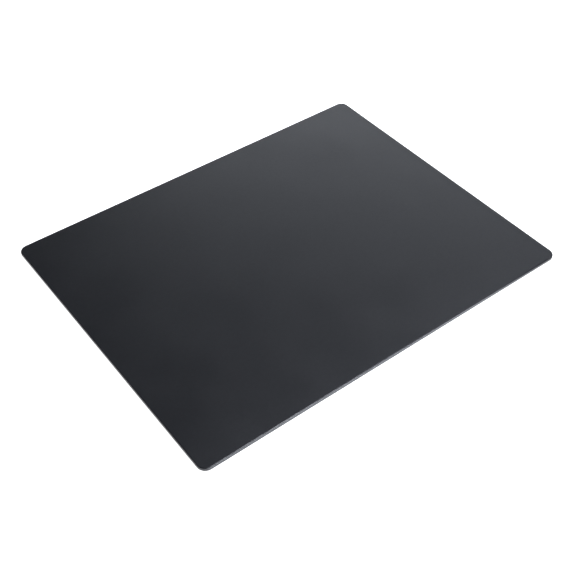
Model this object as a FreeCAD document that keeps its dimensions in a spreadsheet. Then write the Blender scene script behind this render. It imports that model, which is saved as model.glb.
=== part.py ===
"""A desk mat of 24 x 19 x 1/4 inch: a leatherette cover wrapped round a padded board, on felt.

The mat lies flat with its long side along X, its short side along Y and its writing surface facing +Z.
The origin is the middle of the felt's underside, where the mat rests on the desk. All sizes are in
millimetres. The pieces are modelled from the top down: cover, foam, board, filler card, felt.
"""

import FreeCAD, Part
import Sketcher
import math
import os

PARTS_FOLDER = "parts"
QUARTER_TURN = math.pi / 2

# Sketches are drawn at this rough size, and then their dimensions pull them to the real one.
DRAFT_HALF_WIDTH = 300.0
DRAFT_HALF_DEPTH = 240.0
DRAFT_CORNER = 10.0

# The driving dimensions: alias, value in millimetres, meaning.
DIMENSIONS = [
    ("mat_width", 609.6, "long side, along X: 24 inches"),
    ("mat_depth", 482.6, "short side, along Y: 19 inches"),
    ("mat_thickness", 6.35, "desk to writing surface: 1/4 inch"),
    ("corner_radius", 12.7, "plan radius of the four corners: 1/2 inch"),
    ("rim_radius", 1.5, "roll of the cover over the top edge"),
    ("fold_radius", 1.2, "fold of the cover under the bottom edge"),
    ("cover_thickness", 0.7, "leatherette sheet"),
    ("board_thickness", 3.2, "rigid core"),
    ("felt_thickness", 0.8, "non-slip backing"),
    ("hem_width", 18.0, "how far the cover is turned in underneath"),
    ("hem_corner_radius", 3.0, "inner corners of the turned-in hem"),
    ("card_gap", 0.5, "between the hem's cut edge and the filler card"),
    ("felt_setback", 4.0, "from the mat's edge to the felt's edge"),
    ("felt_edge_radius", 0.3, "worn lower edge of the felt"),
    ("glue_gap", 0.1, "between the cover's wall and the board"),
    ("arris_radius", 0.4, "sanded edges of the board"),
    ("foam_setback", 0.6, "from the cover's wall to the foam"),
    ("foam_edge_radius", 0.8, "foam squeezed round by the stretched cover"),
]

# Heights and sizes that follow from the driving dimensions: alias, formula, meaning.
DERIVED = [
    ("hem_base", "=felt_thickness", "underside of the hem and of the filler card"),
    ("board_base", "=hem_base + cover_thickness", "underside of the board"),
    ("foam_base", "=board_base + board_thickness", "underside of the foam"),
    ("foam_top", "=mat_thickness - cover_thickness", "underside of the cover's flat top"),
    ("foam_thickness", "=foam_top - foam_base", "cushion under the writing surface"),
    ("board_inset", "=cover_thickness + glue_gap", "from the mat's edge to the board's"),
    ("foam_inset", "=cover_thickness + foam_setback", "from the mat's edge to the foam's"),
    ("card_inset", "=hem_width + card_gap", "from the mat's edge to the filler card's"),
]


def make_sheet(doc):
    """The spreadsheet of driving dimensions, with the sizes that follow from them underneath."""
    sheet = doc.addObject("Spreadsheet::Sheet", "Sizes")
    for row, (alias, content, meaning) in enumerate(DIMENSIONS + DERIVED, 1):
        sheet.set(f"A{row}", meaning)
        sheet.set(f"B{row}", str(content))
        sheet.setAlias(f"B{row}", alias)
        doc.recompute()
    return sheet


def origin_plane(body, role):
    """One of a body's own origin planes, by its role."""
    return next(plane for plane in body.Origin.OriginFeatures if plane.Role == role)


def draw_rounded_rectangle(sketch):
    """Four sides and four corner arcs, anticlockwise from the front side, near the real size."""
    flat_x = DRAFT_HALF_WIDTH - DRAFT_CORNER
    flat_y = DRAFT_HALF_DEPTH - DRAFT_CORNER
    sides = [
        ((-flat_x, -DRAFT_HALF_DEPTH), (flat_x, -DRAFT_HALF_DEPTH)),
        ((DRAFT_HALF_WIDTH, -flat_y), (DRAFT_HALF_WIDTH, flat_y)),
        ((flat_x, DRAFT_HALF_DEPTH), (-flat_x, DRAFT_HALF_DEPTH)),
        ((-DRAFT_HALF_WIDTH, flat_y), (-DRAFT_HALF_WIDTH, -flat_y)),
    ]
    for start, end in sides:
        segment = Part.LineSegment(FreeCAD.Vector(*start, 0), FreeCAD.Vector(*end, 0))
        sketch.addGeometry(segment, False)
    up = FreeCAD.Vector(0, 0, 1)
    centres = [(flat_x, -flat_y), (flat_x, flat_y), (-flat_x, flat_y), (-flat_x, -flat_y)]
    for turn, centre in enumerate(centres):
        circle = Part.Circle(FreeCAD.Vector(*centre, 0), up, DRAFT_CORNER)
        begin = (turn - 1) * QUARTER_TURN
        sketch.addGeometry(Part.ArcOfCircle(circle, begin, begin + QUARTER_TURN), False)


def rounded_outline(body, name, inset, radius, level):
    """A rounded rectangle inset from the mat's own outline, in a level plane, fully constrained."""
    sketch = body.newObject("Sketcher::SketchObject", name)
    sketch.AttachmentSupport = [(origin_plane(body, "XY_Plane"), "")]
    sketch.MapMode = "FlatFace"
    sketch.setExpression(".AttachmentOffset.Base.z", level)
    draw_rounded_rectangle(sketch)
    front, right, back, left = range(4)
    arcs = range(4, 8)
    start, end, middle = 1, 2, 3
    origin = (-1, 1)
    for side, arc in zip(range(4), arcs):
        following = (side + 1) % 4
        sketch.addConstraint(Sketcher.Constraint("Tangent", side, end, arc, start))
        sketch.addConstraint(Sketcher.Constraint("Tangent", arc, end, following, start))
    for arc in arcs[1:]:
        sketch.addConstraint(Sketcher.Constraint("Equal", arcs[0], arc))
    for side in (front, back):
        sketch.addConstraint(Sketcher.Constraint("Horizontal", side))
    for side in (right, left):
        sketch.addConstraint(Sketcher.Constraint("Vertical", side))
    sketch.addConstraint(Sketcher.Constraint("Symmetric", arcs[0], middle, arcs[2], middle, *origin))
    width = sketch.addConstraint(
        Sketcher.Constraint("DistanceX", left, start, right, start, 2 * DRAFT_HALF_WIDTH)
    )
    depth = sketch.addConstraint(
        Sketcher.Constraint("DistanceY", front, start, back, start, 2 * DRAFT_HALF_DEPTH)
    )
    corner = sketch.addConstraint(Sketcher.Constraint("Radius", arcs[0], DRAFT_CORNER))
    sketch.setExpression(f"Constraints[{width}]", f"Sizes.mat_width - 2 * ({inset})")
    sketch.setExpression(f"Constraints[{depth}]", f"Sizes.mat_depth - 2 * ({inset})")
    sketch.setExpression(f"Constraints[{corner}]", radius)
    return sketch


def edges_at(shape, height):
    """Names of the edges that lie wholly at one height."""
    tolerance = 1e-4
    names = []
    for number, edge in enumerate(shape.Edges, 1):
        box = edge.BoundBox
        if abs(box.ZMin - height) < tolerance and abs(box.ZMax - height) < tolerance:
            names.append(f"Edge{number}")
    return names


def round_rim(doc, body, end, radius):
    """Rounds the edges round a layer's top or bottom face."""
    base = body.Tip
    box = base.Shape.BoundBox
    height = box.ZMax if end == "top" else box.ZMin
    fillet = body.newObject("PartDesign::Fillet", f"{body.Name}_{end}_round")
    fillet.Base = (base, edges_at(base.Shape, height))
    fillet.setExpression("Radius", radius)
    doc.recompute()


def layer(doc, name, inset, radius, level, thickness, top_round=None, bottom_round=None):
    """A flat layer with rounded corners, with its top or bottom rim rounded where that is asked for."""
    body = doc.addObject("PartDesign::Body", name)
    body.Label = name
    pad = body.newObject("PartDesign::Pad", f"{name}_pad")
    pad.Profile = rounded_outline(body, f"{name}_outline", inset, radius, level)
    pad.setExpression("Length", thickness)
    body.Tip = pad
    doc.recompute()
    if top_round:
        round_rim(doc, body, "top", top_round)
    if bottom_round:
        round_rim(doc, body, "bottom", bottom_round)
    return body


def leatherette_cover(doc):
    """One sheet, wrapped over the top and down the sides, and turned in underneath as a hem."""
    outside = layer(
        doc,
        "cover_outside",
        inset="0",
        radius="Sizes.corner_radius",
        level="Sizes.hem_base",
        thickness="Sizes.mat_thickness - Sizes.hem_base",
        top_round="Sizes.rim_radius",
        bottom_round="Sizes.fold_radius",
    )
    inside = layer(
        doc,
        "cover_inside",
        inset="Sizes.cover_thickness",
        radius="Sizes.corner_radius - Sizes.cover_thickness",
        level="Sizes.board_base",
        thickness="Sizes.foam_top - Sizes.board_base",
        top_round="Sizes.rim_radius - Sizes.cover_thickness",
        bottom_round="Sizes.fold_radius - Sizes.cover_thickness",
    )
    hem_window = layer(
        doc,
        "hem_window",
        inset="Sizes.hem_width",
        radius="Sizes.hem_corner_radius",
        level="0",
        thickness="Sizes.foam_base",
    )
    hollow = doc.addObject("Part::Cut", "cover_hollow")
    hollow.Base = outside
    hollow.Tool = inside
    cover = doc.addObject("Part::Cut", "leatherette_cover")
    cover.Base = hollow
    cover.Tool = hem_window
    cover.Label = "leatherette_cover"
    return cover


def cushion_foam(doc):
    """Thin foam that softens the writing surface. The stretched cover squeezes its rim round."""
    return layer(
        doc,
        "cushion_foam",
        inset="Sizes.foam_inset",
        radius="Sizes.corner_radius - Sizes.foam_inset",
        level="Sizes.foam_base",
        thickness="Sizes.foam_thickness",
        top_round="Sizes.foam_edge_radius",
    )


def core_board(doc):
    """The rigid fibreboard that keeps the mat flat, with sanded edges."""
    return layer(
        doc,
        "core_board",
        inset="Sizes.board_inset",
        radius="Sizes.corner_radius - Sizes.board_inset",
        level="Sizes.board_base",
        thickness="Sizes.board_thickness",
        top_round="Sizes.arris_radius",
        bottom_round="Sizes.arris_radius",
    )


def filler_card(doc):
    """Card as thick as the cover, inside the hem, so that the felt lies level."""
    return layer(
        doc,
        "filler_card",
        inset="Sizes.card_inset",
        radius="Sizes.hem_corner_radius - Sizes.card_gap",
        level="Sizes.hem_base",
        thickness="Sizes.cover_thickness",
    )


def felt_backing(doc):
    """The felt panel that closes the underside, over the hem, and that the mat rests on."""
    return layer(
        doc,
        "felt_backing",
        inset="Sizes.felt_setback",
        radius="Sizes.corner_radius - Sizes.felt_setback",
        level="0",
        thickness="Sizes.felt_thickness",
        bottom_round="Sizes.felt_edge_radius",
    )


def check_document(doc, pieces):
    """Stops on a feature that failed quietly, or on a piece that isn't one valid solid."""
    for item in doc.Objects:
        if "Invalid" in item.State or "Error" in item.State:
            raise RuntimeError(f"{item.Name} failed: {item.State}")
    for piece in pieces:
        shape = piece.Shape
        if shape.isNull() or not shape.isValid() or len(shape.Solids) != 1:
            raise RuntimeError(f"{piece.Label} isn't one valid solid")


def main():
    doc = FreeCAD.newDocument("desk_mat")
    make_sheet(doc)
    makers = [leatherette_cover, cushion_foam, core_board, filler_card, felt_backing]
    pieces = [make(doc) for make in makers]
    doc.recompute()
    check_document(doc, pieces)
    os.makedirs(PARTS_FOLDER, exist_ok=True)
    for piece in pieces:
        piece.Shape.exportStep(os.path.join(PARTS_FOLDER, f"{piece.Label}.step"))
        box = piece.Shape.optimalBoundingBox(False)
        size = f"{box.XLength:.2f} x {box.YLength:.2f} mm, z {box.ZMin:.2f} to {box.ZMax:.2f}"
        volume = f"{piece.Shape.Volume / 1000:.1f} cm3"
        print(f"{piece.Label}: {size}, {volume}, {len(piece.Shape.Faces)} faces")


main()
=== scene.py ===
"""The desk mat's looks: a leatherette cover wrapped round foam and board, on felt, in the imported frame.

Metres. +X is the long side, +Y the short side and +Z up. The mat lies on z = 0.
"""

import math

import bpy
from mathutils import Euler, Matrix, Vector, noise


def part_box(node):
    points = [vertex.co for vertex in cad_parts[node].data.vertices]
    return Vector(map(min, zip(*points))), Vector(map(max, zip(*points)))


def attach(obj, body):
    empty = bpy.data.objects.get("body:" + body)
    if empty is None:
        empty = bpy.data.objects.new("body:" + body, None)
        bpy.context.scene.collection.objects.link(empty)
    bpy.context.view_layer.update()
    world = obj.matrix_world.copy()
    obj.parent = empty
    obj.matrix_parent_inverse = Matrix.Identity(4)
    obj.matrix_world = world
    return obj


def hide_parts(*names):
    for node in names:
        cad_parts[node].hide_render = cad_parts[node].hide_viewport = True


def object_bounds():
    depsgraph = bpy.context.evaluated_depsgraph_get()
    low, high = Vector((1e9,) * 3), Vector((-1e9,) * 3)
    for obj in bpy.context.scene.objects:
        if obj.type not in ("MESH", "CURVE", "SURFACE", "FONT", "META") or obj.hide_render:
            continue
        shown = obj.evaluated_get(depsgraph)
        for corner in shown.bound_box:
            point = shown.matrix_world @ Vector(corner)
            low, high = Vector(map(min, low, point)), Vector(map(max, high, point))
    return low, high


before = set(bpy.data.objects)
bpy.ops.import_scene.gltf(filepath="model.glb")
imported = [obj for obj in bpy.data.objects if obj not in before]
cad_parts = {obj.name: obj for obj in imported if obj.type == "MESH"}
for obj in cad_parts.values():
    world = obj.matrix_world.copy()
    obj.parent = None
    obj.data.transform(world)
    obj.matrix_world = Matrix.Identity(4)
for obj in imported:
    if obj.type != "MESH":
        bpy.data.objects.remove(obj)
cad_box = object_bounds()

MM = 0.001
QUARTER_TURN = math.pi / 2

# Sizes of the mat that the nodes' boxes don't give.
CORNER_RADIUS = 12.7 * MM
RIM_RADIUS = 1.5 * MM
FOLD_RADIUS = 1.2 * MM
COVER_THICKNESS = 0.7 * MM
HEM_WIDTH = 18.0 * MM
HEM_CORNER_RADIUS = 3.0 * MM
FOAM_SETBACK = 0.6 * MM
FOAM_EDGE_RADIUS = 0.8 * MM
FELT_SETBACK = 4.0 * MM
FELT_EDGE_RADIUS = 0.3 * MM
FELT_ARRIS_WIDTH = 0.05 * MM
FELT_ARRIS_HEIGHT = 0.15 * MM

# How finely the meshes are divided.
CELL = 5.0 * MM
FOAM_CELL = 2 * CELL
CORNER_CELLS = 16
ARC_STEPS = 8
FELT_ARC_STEPS = 4
WALL_STEPS = 4
HEM_PLEATED_STEPS = 5
HEM_PLEATED_STEP = 0.6 * MM
HEM_FLAT_STEPS = 4
SHARP_ANGLE = math.radians(50)

# Unevenness: the size of its waves, their height, and a number that sets it apart from the others.
COVER_WAVES = (55.0 * MM, 0.05 * MM, 0.0)
COVER_PUCKERS = (14.0 * MM, 0.012 * MM, 7.0)
FOAM_DENTS = (20.0 * MM, 0.04 * MM, 3.0)
FELT_HOLLOWS = (9.0 * MM, 0.03 * MM, 2.0)
FELT_FRAY = (3.0 * MM, 0.12 * MM, 11.0)
FELT_LOOSE_ENDS = (0.9 * MM, 0.08 * MM, 5.0)

# The hem's gathers under each corner. Each has a long side and a short one, and their spacing drifts. The
# band gives the insets from the mat's edge at which they start, are full, start to fade and are gone.
PLEATS = 5
PLEAT_DEPTH = 0.28 * MM
PLEAT_LONG_SIDE = 0.72
PLEAT_DRIFT = 0.18
PLEAT_DRIFT_RATE = 5.0
PLEAT_DRIFT_BY_CORNER = 1.7
PLEAT_FADE = 0.12
PLEAT_BAND = (0.5 * MM, 1.6 * MM, 2.8 * MM, 3.8 * MM)

# Further in than this the hem's face stays level, because the felt lies on it.
HEM_LEVEL_INSET = FELT_SETBACK - 0.5 * MM
LEVEL_TOLERANCE = 0.01 * MM

# The rolled rim is rubbed smooth: how much roughness it loses, and the tilts from level at which the
# rubbing starts and is full, then starts to fade and is gone.
RIM_ATTRIBUTE = "rim"
RIM_BURNISH = 0.15
BURNISH_STARTS = (math.radians(4), math.radians(16))
BURNISH_ENDS = (math.radians(50), math.radians(75))


# Camera, floor and light ---------------------------------------------------------------------------------

CAMERA_LENS_MM = 60.2
CAMERA_SENSOR_MM = 36.0
CAMERA_DISTANCE = 1.337
CAMERA_AZIMUTH = math.radians(-36.95)
CAMERA_DEPRESSION = math.radians(45.26)
CAMERA_ROLL = math.radians(-0.39)
CAMERA_AIM = Vector((-0.0422, -0.0607, cad_box[1][2]))
NEAREST_SEEN = 0.01
FURTHEST_SEEN = 50.0

WHITE = (1.0, 1.0, 1.0, 1.0)
PALE_GREY = (0.8, 0.8, 0.8, 1.0)
FLOOR_HALF_SIZE = 6.0
FLOOR_ROUGHNESS = 0.9
FLOOR_GLOW = 1.12
SURROUNDINGS_STRENGTH = 0.015
LIGHT_DISTANCE = 2.2
LIGHT_TINT = (0.89, 0.93, 1.0)

# The strip light lies low and close in front of the front wall, and faces it.
STRIP_PLACE = Vector((-0.02, -0.36, 0.022))
STRIP_AIM = Vector((-0.02, -0.24, 0.003))


def link_to_scene(item):
    bpy.context.scene.collection.objects.link(item)
    return item


def add_camera():
    """The camera looks over the mat's front left corner, from about 1.3 m."""
    data = bpy.data.cameras.new("camera")
    data.lens = CAMERA_LENS_MM
    data.sensor_width = CAMERA_SENSOR_MM
    data.clip_start = NEAREST_SEEN
    data.clip_end = FURTHEST_SEEN
    camera = link_to_scene(bpy.data.objects.new("camera", data))
    turn = Euler((QUARTER_TURN - CAMERA_DEPRESSION, 0.0, CAMERA_AZIMUTH), "XYZ").to_matrix()
    roll = Euler((0.0, 0.0, CAMERA_ROLL), "XYZ").to_matrix()
    camera.rotation_euler = (turn @ roll).to_euler()
    camera.location = CAMERA_AIM + turn @ Vector((0.0, 0.0, CAMERA_DISTANCE))
    bpy.context.scene.camera = camera


def add_floor():
    """A plain white floor that glows evenly, like a light table."""
    half = FLOOR_HALF_SIZE
    corners = [(-half, -half, 0.0), (half, -half, 0.0), (half, half, 0.0), (-half, half, 0.0)]
    mesh = bpy.data.meshes.new("floor")
    mesh.from_pydata(corners, [], [(0, 1, 2, 3)])
    floor = link_to_scene(bpy.data.objects.new("floor", mesh))
    material = bpy.data.materials.new("pale_floor")
    material.use_nodes = True
    shader = material.node_tree.nodes["Principled BSDF"]
    shader.inputs["Base Color"].default_value = PALE_GREY
    shader.inputs["Roughness"].default_value = FLOOR_ROUGHNESS
    shader.inputs["Emission Color"].default_value = WHITE
    shader.inputs["Emission Strength"].default_value = FLOOR_GLOW
    mesh.materials.append(material)


def add_surroundings():
    """A world that the camera sees as plain white, and that gives the mat hardly any light."""
    world = bpy.data.worlds.new("surroundings")
    bpy.context.scene.world = world
    world.use_nodes = True
    nodes, links = world.node_tree.nodes, world.node_tree.links
    background = nodes["Background"]
    background.inputs["Color"].default_value = WHITE
    seen = nodes.new("ShaderNodeLightPath").outputs["Is Camera Ray"]
    larger = nodes.new("ShaderNodeMath")
    larger.operation = "MAXIMUM"
    larger.inputs[1].default_value = SURROUNDINGS_STRENGTH
    links.new(seen, larger.inputs[0])
    links.new(larger.outputs[0], background.inputs["Strength"])


def add_softbox(name, place, aim, size, power):
    """A rectangular soft light at a place, turned to a point and unseen by the camera."""
    data = bpy.data.lights.new(name, "AREA")
    data.shape = "RECTANGLE"
    data.size, data.size_y = size
    data.energy = power
    data.color = LIGHT_TINT
    light = link_to_scene(bpy.data.objects.new(name, data))
    light.visible_camera = False
    light.location = place
    light.rotation_euler = (aim - place).to_track_quat("-Z", "Y").to_euler()


def add_distant_softbox(name, azimuth, elevation, size, power):
    """A softbox aimed at the mat's middle. Azimuth is in degrees clockwise from +Y, seen from above."""
    turn, rise = math.radians(azimuth), math.radians(elevation)
    out = Vector((math.sin(turn) * math.cos(rise), math.cos(turn) * math.cos(rise), math.sin(rise)))
    add_softbox(name, LIGHT_DISTANCE * out, Vector((0.0, 0.0, 0.0)), size, power)


def add_stage():
    """The floor, the surroundings, three softboxes at a distance and a strip light close to the mat."""
    add_floor()
    add_surroundings()
    add_distant_softbox("back_light", azimuth=48.0, elevation=23.0, size=(2.5, 0.6), power=19.0)
    add_distant_softbox("back_left_light", azimuth=300.0, elevation=26.0, size=(1.6, 0.8), power=3.2)
    add_distant_softbox("high_front_light", azimuth=133.0, elevation=67.0, size=(0.5, 0.3), power=38.0)
    add_softbox("front_strip_light", STRIP_PLACE, STRIP_AIM, size=(0.6, 0.03), power=1.4)
    bpy.context.scene.view_settings.view_transform = "Standard"


# Materials -----------------------------------------------------------------------------------------------


class Look:
    """A material with one Principled shader, and short ways to build its nodes."""

    def __init__(self, name, **constants):
        self.material = bpy.data.materials.new(name)
        self.material.use_nodes = True
        self.nodes = self.material.node_tree.nodes
        self.links = self.material.node_tree.links
        self.shader = self.nodes["Principled BSDF"]
        for socket, value in constants.items():
            self.shader.inputs[socket.replace("_", " ")].default_value = value
        self.place = self.nodes.new("ShaderNodeTexCoord").outputs["Object"]

    def feed(self, socket, source):
        """Links a source into a socket, or sets the socket to it if it's a plain value."""
        if isinstance(source, bpy.types.NodeSocket):
            self.links.new(source, socket)
        else:
            socket.default_value = source

    def cells(self, size, feature="F1"):
        """A distance in Voronoi cells of about that size: from their middles, or as the feature says."""
        node = self.nodes.new("ShaderNodeTexVoronoi")
        node.feature = feature
        self.feed(node.inputs["Vector"], self.place)
        node.inputs["Scale"].default_value = 1.0 / size
        return node.outputs["Distance"]

    def blotches(self, size, detail, place=None):
        """Soft noise in blotches of about that size."""
        node = self.nodes.new("ShaderNodeTexNoise")
        self.feed(node.inputs["Vector"], place or self.place)
        node.inputs["Scale"].default_value = 1.0 / size
        node.inputs["Detail"].default_value = detail
        return node.outputs["Fac"]

    def drawn_out(self, thinness, turn):
        """Coordinates that draw a pattern out into strands, level and turned by an angle."""
        node = self.nodes.new("ShaderNodeMapping")
        self.feed(node.inputs["Vector"], self.place)
        node.inputs["Scale"].default_value = (1.0, thinness, 1.0)
        node.inputs["Rotation"].default_value = (0.0, 0.0, turn)
        return node.outputs["Vector"]

    def attribute(self, name):
        """A number kept at each point of the mesh."""
        node = self.nodes.new("ShaderNodeAttribute")
        node.attribute_name = name
        return node.outputs["Fac"]

    def combine(self, operation, first, second):
        """Two numbers joined by a Math node's operation."""
        node = self.nodes.new("ShaderNodeMath")
        node.operation = operation
        self.feed(node.inputs[0], first)
        self.feed(node.inputs[1], second)
        return node.outputs[0]

    def spread(self, value, old, new=(0.0, 1.0)):
        """Maps a value from one range to another, and holds it there."""
        node = self.nodes.new("ShaderNodeMapRange")
        self.feed(node.inputs["Value"], value)
        for socket, number in zip(("From Min", "From Max", "To Min", "To Max"), (*old, *new)):
            node.inputs[socket].default_value = number
        return node.outputs["Result"]

    def blend(self, share, first, second):
        """A colour between two others."""
        node = self.nodes.new("ShaderNodeMix")
        node.data_type = "RGBA"
        self.feed(node.inputs["Factor"], share)
        for socket, colour in (("A", first), ("B", second)):
            target = next(s for s in node.inputs if s.name == socket and s.type == "RGBA")
            self.feed(target, colour if isinstance(colour, bpy.types.NodeSocket) else (*colour, 1.0))
        return next(s for s in node.outputs if s.type == "RGBA")

    def bump(self, height, depth):
        """Relief of that depth, in metres, over whatever relief there is already."""
        node = self.nodes.new("ShaderNodeBump")
        node.inputs["Strength"].default_value = 1.0
        node.inputs["Distance"].default_value = depth
        self.feed(node.inputs["Height"], height)
        target = self.shader.inputs["Normal"]
        if target.is_linked:
            self.links.new(target.links[0].from_socket, node.inputs["Normal"])
        self.links.new(node.outputs["Normal"], target)

    def finish(self, colour, roughness):
        self.feed(self.shader.inputs["Base Color"], colour)
        self.feed(self.shader.inputs["Roughness"], roughness)
        return self.material


def leatherette():
    """Black coated fabric with a fine pebble grain, rubbed smooth along the rim and shinier in patches."""
    look = Look("black_leatherette", Specular_IOR_Level=0.5)
    dark = (0.0082, 0.0087, 0.0112)
    pale = (0.0125, 0.0133, 0.0170)
    rim = look.attribute(RIM_ATTRIBUTE)
    dome = look.combine("SUBTRACT", 1.0, look.cells(1.5 * MM, "SMOOTH_F1"))
    crease = look.spread(look.cells(3.4 * MM, "DISTANCE_TO_EDGE"), (0.0, 0.16))
    pore = look.blotches(0.5 * MM, 3.0)
    handled = look.blotches(90.0 * MM, 3.0)
    mottle = look.blotches(6.0 * MM, 2.0)

    pebbles = look.combine("MULTIPLY", dome, crease)
    left_on_rim = look.spread(rim, (0.0, 1.0), (1.0, 0.1))
    look.bump(look.combine("MULTIPLY", pebbles, left_on_rim), 0.03 * MM)
    look.bump(pore, 0.008 * MM)

    pale_on_domes = look.spread(dome, (0.3, 1.0), (0.0, 0.6))
    pale_in_mottle = look.spread(mottle, (0.3, 0.7), (0.0, 0.4))
    colour = look.blend(look.combine("ADD", pale_on_domes, pale_in_mottle), dark, pale)

    rough_between_domes = look.spread(dome, (0.3, 1.0), (0.04, 0.0))
    rough_in_patches = look.spread(handled, (0.35, 0.65), (0.39, 0.44))
    unrubbed = look.combine("ADD", rough_in_patches, rough_between_domes)
    rubbed_off = look.combine("MULTIPLY", rim, RIM_BURNISH)
    return look.finish(colour, look.combine("SUBTRACT", unrubbed, rubbed_off))


def felt():
    """Black needled felt: short fibres pressed flat in every direction, with loose fuzz between them."""
    look = Look("needled_felt", Specular_IOR_Level=0.15, Sheen_Weight=0.18, Sheen_Roughness=0.7)
    dark = (0.008, 0.008, 0.009)
    pale = (0.038, 0.038, 0.041)
    fibres = 0.0
    for turn in (0.2, 0.85, 1.6, 2.35, 2.9):
        strand = look.blotches(0.32 * MM, 1.5, look.drawn_out(0.16, turn))
        fibres = look.combine("MAXIMUM", fibres, strand)
    fuzz = look.blotches(0.22 * MM, 3.0)
    tufts = look.blotches(4.0 * MM, 4.0)

    look.bump(fibres, 0.16 * MM)
    look.bump(fuzz, 0.08 * MM)
    look.bump(tufts, 0.2 * MM)

    pale_fibres = look.spread(fibres, (0.5, 0.8), (0.0, 0.55))
    pale_fuzz = look.spread(fuzz, (0.4, 0.7), (0.0, 0.2))
    pale_tufts = look.spread(tufts, (0.3, 0.7), (0.0, 0.25))
    shade = look.combine("ADD", look.combine("ADD", pale_fibres, pale_fuzz), pale_tufts)
    return look.finish(look.blend(shade, dark, pale), look.spread(tufts, (0.3, 0.7), (0.85, 0.97)))


def foam():
    """Dark closed-cell foam, with its cells cut through at the surface."""
    look = Look("closed_cell_foam", Specular_IOR_Level=0.3)
    dark = (0.055, 0.055, 0.058)
    pale = (0.125, 0.125, 0.13)
    bubbles = look.cells(0.45 * MM)
    patches = look.blotches(12.0 * MM, 3.0)

    look.bump(bubbles, 0.1 * MM)

    pale_walls = look.spread(bubbles, (0.1, 0.7), (0.0, 0.7))
    pale_patches = look.spread(patches, (0.3, 0.7), (0.0, 0.3))
    colour = look.blend(look.combine("ADD", pale_walls, pale_patches), dark, pale)
    return look.finish(colour, look.spread(patches, (0.3, 0.7), (0.78, 0.9)))


def fibreboard():
    """Brown hardboard of pressed wood fibre, with darker flecks and a slight sheen."""
    look = Look("brown_hardboard", Specular_IOR_Level=0.35)
    dark = (0.13, 0.070, 0.034)
    pale = (0.30, 0.175, 0.092)
    faded = (0.23, 0.14, 0.078)
    bark = (0.06, 0.032, 0.017)
    one_way = look.blotches(0.5 * MM, 3.0, look.drawn_out(0.15, 0.7))
    other_way = look.blotches(0.5 * MM, 3.0, look.drawn_out(0.15, 2.0))
    strands = look.combine("MULTIPLY", look.combine("ADD", one_way, other_way), 0.5)
    flecks = look.spread(look.cells(2.2 * MM), (0.05, 0.35))
    patches = look.blotches(40.0 * MM, 4.0)

    look.bump(strands, 0.05 * MM)

    fibrous = look.blend(look.spread(strands, (0.35, 0.65)), dark, pale)
    patchy = look.blend(look.spread(patches, (0.3, 0.7), (0.0, 0.35)), fibrous, faded)
    colour = look.blend(look.spread(flecks, (0.0, 1.0), (0.55, 0.0)), patchy, bark)
    return look.finish(colour, look.spread(patches, (0.3, 0.7), (0.55, 0.72)))


def greyboard():
    """Grey recycled card, with pale clouds and dark specks in it."""
    look = Look("grey_card", Specular_IOR_Level=0.25)
    dark = (0.25, 0.235, 0.21)
    pale = (0.40, 0.38, 0.345)
    clouded = (0.33, 0.315, 0.29)
    ink = (0.13, 0.12, 0.11)
    specks = look.spread(look.cells(1.1 * MM), (0.03, 0.22))
    fibres = look.blotches(0.6 * MM, 3.0, look.drawn_out(0.2, 0.4))
    clouds = look.blotches(18.0 * MM, 4.0)

    look.bump(fibres, 0.03 * MM)

    fibrous = look.blend(look.spread(fibres, (0.3, 0.7)), dark, pale)
    cloudy = look.blend(look.spread(clouds, (0.3, 0.7), (0.0, 0.3)), fibrous, clouded)
    colour = look.blend(look.spread(specks, (0.0, 1.0), (0.5, 0.0)), cloudy, ink)
    return look.finish(colour, look.spread(fibres, (0.3, 0.7), (0.8, 0.92)))


# Mesh building -------------------------------------------------------------------------------------------
#
# A surface's lean says which way it faces: up at minus a quarter turn, outwards at 0, and down at plus a
# quarter turn. A station is a loop round the mat: its inset from the outline, its height and its lean.


class OutlinePoint:
    """A point on an outline: where it is, which way is outwards, and how far round which corner it is."""

    def __init__(self, place, outward, corner=None, turn=0.0):
        self.place = place
        self.outward = outward
        self.corner = corner
        self.turn = turn


class Outline:
    """A rounded rectangle round the origin, divided into steps along its sides and round its corners."""

    def __init__(self, half_x, half_y, radius, cell=CELL, steps=None):
        self.half_x, self.half_y, self.radius = half_x, half_y, radius
        self.flat_x, self.flat_y = half_x - radius, half_y - radius
        self.steps = steps or (round(2 * self.flat_x / cell), round(2 * self.flat_y / cell))

    def inset(self, amount):
        """The same outline, moved inwards, in the same steps."""
        half_x, half_y, radius = self.half_x - amount, self.half_y - amount, self.radius - amount
        return Outline(half_x, half_y, radius, steps=self.steps)

    def points(self):
        """Its points, anticlockwise from the left end of the front side, round each corner in turn."""
        half = [math.asin(step / CORNER_CELLS / math.sqrt(2)) for step in range(CORNER_CELLS + 1)]
        angles = half + [QUARTER_TURN - angle for angle in reversed(half[:-1])]
        signs = [(1, -1), (1, 1), (-1, 1), (-1, -1)]
        centres = [Vector((x * self.flat_x, y * self.flat_y)) for x, y in signs]
        found = []
        for corner, centre in enumerate(centres):
            before = centres[corner - 1]
            along = (centre - before).normalized()
            outward = Vector((along.y, -along.x))
            steps = self.steps[corner % 2]
            for step in range(1, steps):
                place = before.lerp(centre, step / steps) + outward * self.radius
                found.append(OutlinePoint(place, outward))
            for angle in angles:
                heading = angle + (corner - 1) * QUARTER_TURN
                outward = Vector((math.cos(heading), math.sin(heading)))
                place = centre + outward * self.radius
                found.append(OutlinePoint(place, outward, corner, angle / QUARTER_TURN))
        return found

    def blended(self, other, share):
        """Points part of the way from this outline to another one in the same steps."""
        pairs = zip(self.points(), other.points())
        return [
            OutlinePoint(a.place.lerp(b.place, share), a.outward, a.corner, a.turn) for a, b in pairs
        ]


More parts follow.
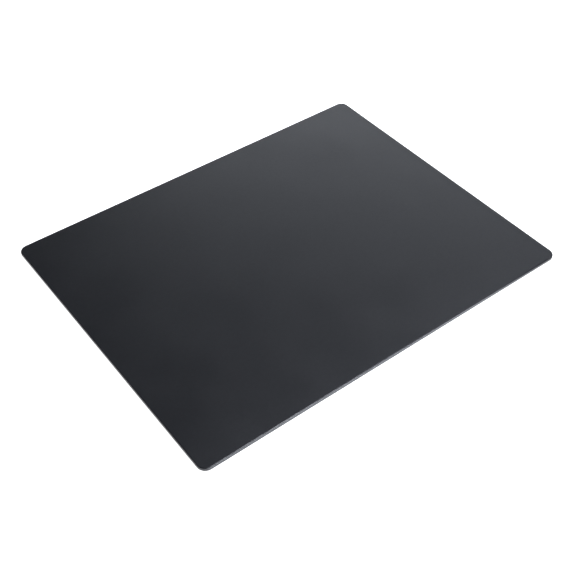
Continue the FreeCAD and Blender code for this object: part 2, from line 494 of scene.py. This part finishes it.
class Skin:
    """A mesh being built from flat grids and the loops of points that follow round their edges."""

    def __init__(self):
        self.places, self.normals, self.faces = [], [], []

    def add(self, place, normal):
        self.places.append(place)
        self.normals.append(normal)
        return len(self.places) - 1

    def grid(self, outline, height, up=1):
        """Fills an outline with a grid that faces up, or down at -1. Returns the loop round its edge."""
        steps_x, steps_y = outline.steps
        last_x, last_y = steps_x + 2 * CORNER_CELLS, steps_y + 2 * CORNER_CELLS

        def station(index, steps, flat):
            """A place on the straight stretch, and how far past its end, from -1 to 1."""
            along = min(max(index - CORNER_CELLS, 0), steps)
            beyond = (index - CORNER_CELLS - along) / CORNER_CELLS
            return flat * (2 * along / steps - 1), beyond

        at = {}
        for column in range(last_x + 1):
            x, over_x = station(column, steps_x, outline.flat_x)
            for row in range(last_y + 1):
                y, over_y = station(row, steps_y, outline.flat_y)
                round_x = outline.radius * over_x * math.sqrt(1 - over_y**2 / 2)
                round_y = outline.radius * over_y * math.sqrt(1 - over_x**2 / 2)
                place = Vector((x + round_x, y + round_y, height))
                at[column, row] = self.add(place, Vector((0.0, 0.0, up)))
        for column in range(last_x):
            for row in range(last_y):
                face = [
                    at[column, row],
                    at[column + 1, row],
                    at[column + 1, row + 1],
                    at[column, row + 1],
                ]
                self.faces.append(face[::up])
        front = [at[column, 0] for column in range(last_x)]
        right = [at[last_x, row] for row in range(last_y)]
        back = [at[column, last_y] for column in range(last_x, 0, -1)]
        left = [at[0, row] for row in range(last_y, 0, -1)]
        edge = front + right + back + left
        start = CORNER_CELLS + 1
        return edge[start:] + edge[:start]

    def loop(self, points, height, lean):
        """Adds a loop of an outline's points at a height, on a surface of that lean."""
        lift = Vector((0.0, 0.0, height))
        rise = Vector((0.0, 0.0, -math.sin(lean)))
        added = []
        for point in points:
            normal = point.outward.to_3d() * math.cos(lean) + rise
            added.append(self.add(point.place.to_3d() + lift, normal))
        return added

    def bridge(self, upper, lower):
        """Joins two loops with faces that look outwards when the second one follows the first down."""
        count = len(upper)
        for index in range(count):
            after = (index + 1) % count
            self.faces.append([upper[index], lower[index], lower[after], upper[after]])

    def build(self, name, material):
        """Makes the object, shaded smooth apart from its sharp edges."""
        mesh = bpy.data.meshes.new(name)
        mesh.from_pydata(self.places, [], self.faces)
        mesh.materials.append(material)
        mesh.polygons.foreach_set("use_smooth", [True] * len(mesh.polygons))
        mesh.set_sharp_from_angle(angle=SHARP_ANGLE)
        mesh.update()
        return link_to_scene(bpy.data.objects.new(name, mesh))


def arc_over(radius, top):
    """Stations round an upper edge, from just past the top face to the wall."""
    stations = []
    for step in range(1, ARC_STEPS + 1):
        turn = QUARTER_TURN * step / ARC_STEPS
        inset = radius * (1 - math.sin(turn))
        stations.append((inset, top - radius * (1 - math.cos(turn)), turn - QUARTER_TURN))
    return stations


def arc_under(radius, base, steps):
    """Stations round a lower edge, from just past the wall to the underside."""
    stations = []
    for step in range(1, steps + 1):
        turn = QUARTER_TURN * step / steps
        inset = radius * (1 - math.cos(turn))
        stations.append((inset, base + radius * (1 - math.sin(turn)), turn))
    return stations


def closed_slab(outline, base, top, stations):
    """A slab whose side runs through stations, from its top face's edge to its bottom face's."""
    skin = Skin()
    top_inset, bottom_inset = stations[0][0], stations[-1][0]
    loop = skin.grid(outline.inset(top_inset), top)
    for inset, height, lean in stations[1:-1]:
        added = skin.loop(outline.inset(inset).points(), height, lean)
        skin.bridge(loop, added)
        loop = added
    bottom = skin.grid(outline.inset(bottom_inset), base, up=-1)
    skin.bridge(loop, bottom)
    return skin


def ripple(place, size, height, salt):
    """Gentle unevenness with waves of about that size."""
    return height * noise.noise(Vector((place.x / size, place.y / size, place.z / size + salt)))


def ease(value, low, high):
    """Rises smoothly from 0 to 1 between two values."""
    share = min(max((value - low) / (high - low), 0.0), 1.0)
    return share * share * (3.0 - 2.0 * share)


def extents(node):
    """A node's half width, half depth, lowest point and highest point."""
    low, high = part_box(node)
    return (high[0] - low[0]) / 2, (high[1] - low[1]) / 2, low[2], high[2]


# The pieces ----------------------------------------------------------------------------------------------


def pleat(point, inset, lean):
    """How far a gather of the hem stands out, under a corner and clear of the felt."""
    if point.corner is None or lean <= 0.0:
        return 0.0
    drift = PLEAT_DRIFT * math.sin(PLEAT_DRIFT_RATE * point.turn + PLEAT_DRIFT_BY_CORNER * point.corner)
    across = (point.turn * PLEATS + drift) % 1.0
    if across < PLEAT_LONG_SIDE:
        knife = across / PLEAT_LONG_SIDE
    else:
        knife = (1.0 - across) / (1.0 - PLEAT_LONG_SIDE)
    in_corner = ease(point.turn, 0.0, PLEAT_FADE) * ease(1.0 - point.turn, 0.0, PLEAT_FADE)
    in_band = ease(inset, *PLEAT_BAND[:2]) * (1.0 - ease(inset, *PLEAT_BAND[2:]))
    return PLEAT_DEPTH * knife * knife * in_corner * in_band


def burnish(lean):
    """How much the rolled rim is rubbed smooth: nothing on the flat top and on the wall."""
    tilt = lean + QUARTER_TURN
    return ease(tilt, *BURNISH_STARTS) * (1.0 - ease(tilt, *BURNISH_ENDS))


def cover_stations(base, top):
    """Stations from the rolled rim down the wall and round the fold under the edge."""
    wall_top, wall_bottom = top - RIM_RADIUS, base + FOLD_RADIUS
    wall = []
    for step in range(1, WALL_STEPS + 1):
        wall.append((0.0, wall_top + (wall_bottom - wall_top) * step / WALL_STEPS, 0.0))
    return arc_over(RIM_RADIUS, top) + wall + arc_under(FOLD_RADIUS, base, ARC_STEPS)


class CoverSkin(Skin):
    """The cover's skin, with each outer point's inset, its pleat's height and its share of burnish."""

    def __init__(self, flat_top, top):
        super().__init__()
        self.last = self.grid(flat_top, top)
        count = len(self.places)
        self.insets = [RIM_RADIUS] * count
        self.pleats = [0.0] * count
        self.burnishes = [0.0] * count

    def follow(self, points, inset, height, lean):
        """Adds the next loop of the outer face, and joins it to the last one."""
        added = self.loop(points, height, lean)
        self.bridge(self.last, added)
        self.last = added
        for point in points:
            self.insets.append(inset)
            self.pleats.append(pleat(point, inset, lean))
            self.burnishes.append(burnish(lean))

    def swell(self, index, base):
        """How far an outer point stands out."""
        place = self.places[index]
        on_hem = place.z < base + LEVEL_TOLERANCE
        if on_hem and self.insets[index] > HEM_LEVEL_INSET:
            return self.pleats[index]
        return ripple(place, *COVER_WAVES) + ripple(place, *COVER_PUCKERS) + self.pleats[index]

    def thicken(self, base):
        """Adds the inner face and the hem's cut edge, and makes the outer face uneven."""
        count = len(self.places)
        inner_faces = [[index + count for index in reversed(face)] for face in self.faces]
        for index in range(count):
            place, normal = self.places[index], self.normals[index]
            self.add(place - normal * COVER_THICKNESS, -normal)
            self.places[index] = place + normal * self.swell(index, base)
        self.faces += inner_faces
        self.bridge(self.last, [index + count for index in self.last])
        self.burnishes += [0.0] * count


def wrapped_skin(half_x, half_y, base, top):
    """One sheet's outer face: flat top, rim, wall and fold, then the hem's pleated and flat stretches."""
    edge = Outline(half_x, half_y, CORNER_RADIUS)
    skin = CoverSkin(edge.inset(RIM_RADIUS), top)
    for inset, height, lean in cover_stations(base, top):
        skin.follow(edge.inset(inset).points(), inset, height, lean)
    for step in range(1, HEM_PLEATED_STEPS + 1):
        inset = FOLD_RADIUS + step * HEM_PLEATED_STEP
        skin.follow(edge.inset(inset).points(), inset, base, QUARTER_TURN)
    flat_from = FOLD_RADIUS + HEM_PLEATED_STEPS * HEM_PLEATED_STEP
    pleats_end = edge.inset(flat_from)
    cut_edge = Outline(half_x - HEM_WIDTH, half_y - HEM_WIDTH, HEM_CORNER_RADIUS, steps=edge.steps)
    for step in range(1, HEM_FLAT_STEPS + 1):
        share = step / HEM_FLAT_STEPS
        inset = flat_from + (HEM_WIDTH - flat_from) * share
        skin.follow(pleats_end.blended(cut_edge, share), inset, base, QUARTER_TURN)
    return skin


def make_cover():
    """The leatherette sheet, wrapped over the top and turned in underneath."""
    half_x, half_y, base, top = extents("leatherette_cover")
    skin = wrapped_skin(half_x, half_y, base, top)
    skin.thicken(base)
    cover = skin.build("leatherette_cover_wrapped", leatherette())
    worn = cover.data.attributes.new(RIM_ATTRIBUTE, "FLOAT", "POINT")
    worn.data.foreach_set("value", skin.burnishes)
    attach(cover, "root")
    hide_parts("leatherette_cover")


def make_foam():
    """The cushion under the cover, with its rim squeezed round and its faces slightly dented."""
    half_x, half_y, base, top = extents("cushion_foam")
    outline = Outline(half_x, half_y, CORNER_RADIUS - COVER_THICKNESS - FOAM_SETBACK, cell=FOAM_CELL)
    top_edge = (FOAM_EDGE_RADIUS, top, -QUARTER_TURN)
    bottom_edge = (0.0, base, QUARTER_TURN)
    skin = closed_slab(outline, base, top, [top_edge, *arc_over(FOAM_EDGE_RADIUS, top), bottom_edge])
    for index, place in enumerate(skin.places):
        skin.places[index] = place - skin.normals[index] * abs(ripple(place, *FOAM_DENTS))
    pad = skin.build("cushion_foam_pad", foam())
    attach(pad, "root")
    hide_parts("cushion_foam")


def make_felt():
    """The felt panel, with a frayed cut edge and shallow hollows. Its upper face is glued and flat."""
    half_x, half_y, base, top = extents("felt_backing")
    outline = Outline(half_x, half_y, CORNER_RADIUS - FELT_SETBACK)
    cut_edge = [
        (FELT_ARRIS_WIDTH, top, -QUARTER_TURN),
        (0.0, top - FELT_ARRIS_HEIGHT, 0.0),
        (0.0, base + FELT_EDGE_RADIUS, 0.0),
    ]
    lower_edge = arc_under(FELT_EDGE_RADIUS, base, FELT_ARC_STEPS)
    skin = closed_slab(outline, base, top, cut_edge + lower_edge)
    for index, place in enumerate(skin.places):
        normal = skin.normals[index]
        faces_up = normal.z > 0.9
        if faces_up:
            continue
        hollow = abs(ripple(place, *FELT_HOLLOWS))
        fray = abs(ripple(place, *FELT_FRAY) + ripple(place, *FELT_LOOSE_ENDS))
        skin.places[index] = place - normal * (hollow + fray * normal.to_2d().length)
    panel = skin.build("felt_backing_panel", felt())
    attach(panel, "root")
    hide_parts("felt_backing")


def finish_inner_boards():
    """The board and the card keep their CAD shape, and get their materials."""
    for node, material in (("core_board", fibreboard()), ("filler_card", greyboard())):
        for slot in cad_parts[node].material_slots:
            slot.material = material


add_camera()
add_stage()
make_cover()
make_foam()
make_felt()
finish_inner_boards()
